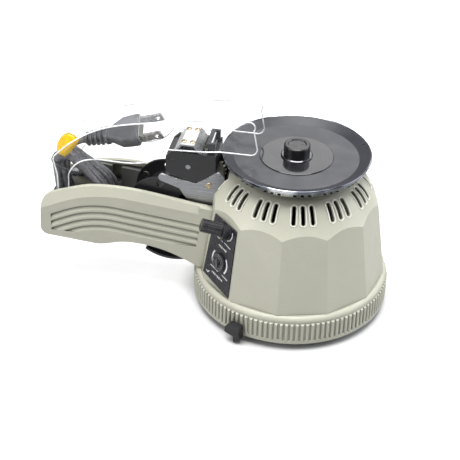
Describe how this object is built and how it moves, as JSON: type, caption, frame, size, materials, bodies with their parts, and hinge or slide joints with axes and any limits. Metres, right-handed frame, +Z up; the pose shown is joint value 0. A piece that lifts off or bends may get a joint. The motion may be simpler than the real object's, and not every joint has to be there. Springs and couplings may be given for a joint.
{
  "type": "tape dispenser",
  "caption": "Carousel tape dispenser: feed rollers and a cutter between two arms hang cut strips on the rim of a turntable over a round faceted body.",
  "frame": {"origin": "middle of the footprint (bounding box without the lead), on the surface that it stands on", "axes": "+Z up; the arms and the tape hub are towards -X, the turntable towards +X; the controls face -Y"},
  "size_m": [0.2144, 0.1216, 0.1254],
  "materials": {
    "grey_abs": "fine spark-eroded texture, warm grey",
    "plate_steel": "black painted sheet",
    "foot_rubber": "matte",
    "black_abs": "satin",
    "grey_trim": "satin",
    "white_nylon": "satin",
    "bright_steel": "brushed",
    "panel_film": "printed film",
    "pot_body": "plated",
    "board_green": "solder mask",
    "clear_pc": "polished clear plastic",
    "gloss_black": "polished",
    "bright_chrome": "mirror",
    "aluminium": "turned",
    "brass": "turned",
    "roller_rubber": "ground",
    "cord_pvc": "smooth sheath",
    "tag_film": "glossy film label"
  },
  "bodies": {
    "housing": {"base_ring": "grey_abs", "body_shell": "grey_abs", "arm_front": "grey_abs", "arm_rear": "grey_abs", "base_plate": "plate_steel", "rubber_feet": "foot_rubber", "throat_wall": "black_abs", "cord_tray": "black_abs", "hub_well": "black_abs", "feed_frame": "black_abs", "blade_guide": "black_abs", "axle_rail_front": "grey_trim", "axle_rail_rear": "grey_trim", "cover_hinge_pins": "bright_steel", "side_plate_front": "bright_steel", "side_plate_rear": "bright_steel", "top_bracket": "bright_steel", "fixed_blade": "bright_steel", "turntable_motor": "bright_steel", "feed_motor": "bright_steel", "rail_screws": "bright_steel", "plug_blades": "bright_steel", "panel_plate": "panel_film", "control_pots": "pot_body", "control_board": "board_green", "bearing_tube": "aluminium", "spindle_bushes": "brass", "plate_screws": "brass", "cable_gland": "cord_pvc", "power_lead": "cord_pvc", "cord_hank": "cord_pvc", "plug_tail": "cord_pvc", "plug_body": "cord_pvc", "cord_tag": "tag_film"},
    "turntable": {"turntable_plate": "gloss_black", "turntable_rim": "bright_chrome", "turntable_inner_plate": "gloss_black", "turntable_collar": "bright_steel", "turntable_knob": "gloss_black", "turntable_spindle": "bright_steel", "turntable_gear": "white_nylon"},
    "table_pinion": {"turntable_pinion": "white_nylon"},
    "cover": {"clear_cover": "clear_pc"},
    "tape_hub": {"hub_axle": "bright_steel", "hub_core": "black_abs", "hub_flanges": "black_abs"},
    "feed_roller": {"feed_roller": "roller_rubber", "feed_shaft": "bright_steel", "feed_gear": "white_nylon"},
    "idler": {"idler_gear": "white_nylon"},
    "drive_pinion": {"feed_pinion": "white_nylon"},
    "pinch_roller": {"pinch_roller": "roller_rubber"},
    "cutter": {"cutter_carriage": "black_abs", "moving_blade": "bright_steel"},
    "width_knob": {"width_knob": "black_abs"},
    "length_dial": {"length_dial": "grey_trim"},
    "lever": {"suction_lever": "black_abs", "lever_shaft": "bright_steel"},
    "suction": {"suction_cup": "foot_rubber", "suction_stem": "white_nylon"}
  },
  "joints": [
    {"name": "turntable_spin", "type": "hinge", "parent": "housing", "child": "turntable", "pos_m": [0.04715, 0, 0.099], "axis": [0, 0, 1], "continuous": true},
    {"name": "table_pinion_spin", "type": "hinge", "parent": "housing", "child": "table_pinion", "pos_m": [0.06215, 0.02598, 0.08], "axis": [0, 0, 1], "continuous": true},
    {"name": "cover_hinge", "type": "hinge", "parent": "housing", "child": "cover", "pos_m": [-0.09285, 0, 0.062], "axis": [0, -1, 0], "range_deg": [0, 75]},
    {"name": "tape_hub_spin", "type": "hinge", "parent": "housing", "child": "tape_hub", "pos_m": [-0.03285, 0, 0.06], "axis": [0, 1, 0], "continuous": true},
    {"name": "feed_roller_spin", "type": "hinge", "parent": "housing", "child": "feed_roller", "pos_m": [-0.01585, 0, 0.09], "axis": [0, 1, 0], "continuous": true},
    {"name": "idler_spin", "type": "hinge", "parent": "housing", "child": "idler", "pos_m": [-0.00556, 0.00815, 0.07774], "axis": [0, 1, 0], "continuous": true},
    {"name": "drive_pinion_spin", "type": "hinge", "parent": "housing", "child": "drive_pinion", "pos_m": [-0.00091, 0.00815, 0.06496], "axis": [0, 1, 0], "continuous": true},
    {"name": "pinch_roller_spin", "type": "hinge", "parent": "housing", "child": "pinch_roller", "pos_m": [-0.02564, 0, 0.09456], "axis": [0, 1, 0], "continuous": true},
    {"name": "cutter_slide", "type": "slide", "parent": "housing", "child": "cutter", "axis": [0, 0, -1], "range_m": [0, 0.004], "stiffness_N_per_m": 300, "springref_m": -0.002},
    {"name": "width_knob_turn", "type": "hinge", "parent": "housing", "child": "width_knob", "pos_m": [0.01337, -0.03661, 0.0647], "axis": [-0.9288, -0.22, 0.2983], "range_deg": [-150, 150]},
    {"name": "length_dial_turn", "type": "hinge", "parent": "housing", "child": "length_dial", "pos_m": [0.00939, -0.03691, 0.0426], "axis": [-0.7006, -0.7006, 0.1356], "range_deg": [0, 270]},
    {"name": "suction_lever_turn", "type": "hinge", "parent": "housing", "child": "lever", "pos_m": [0.02275, -0.05481, 0.008], "axis": [-0.4067, -0.9135, 0], "range_deg": [0, 90]},
    {"name": "suction_lift", "type": "slide", "parent": "housing", "child": "suction", "axis": [0, 0, 1], "range_m": [0, 0.0015]}
  ],
  "couplings": [
    {"joint": "table_pinion_spin", "follows": "turntable_spin", "ratio": -4},
    {"joint": "idler_spin", "follows": "feed_roller_spin", "ratio": -0.81818},
    {"joint": "drive_pinion_spin", "follows": "feed_roller_spin", "ratio": 1.5},
    {"joint": "pinch_roller_spin", "follows": "feed_roller_spin", "ratio": -1.625},
    {"joint": "suction_lever_turn", "follows": "suction_lift", "rad_per_m": 1047.2}
  ]
}
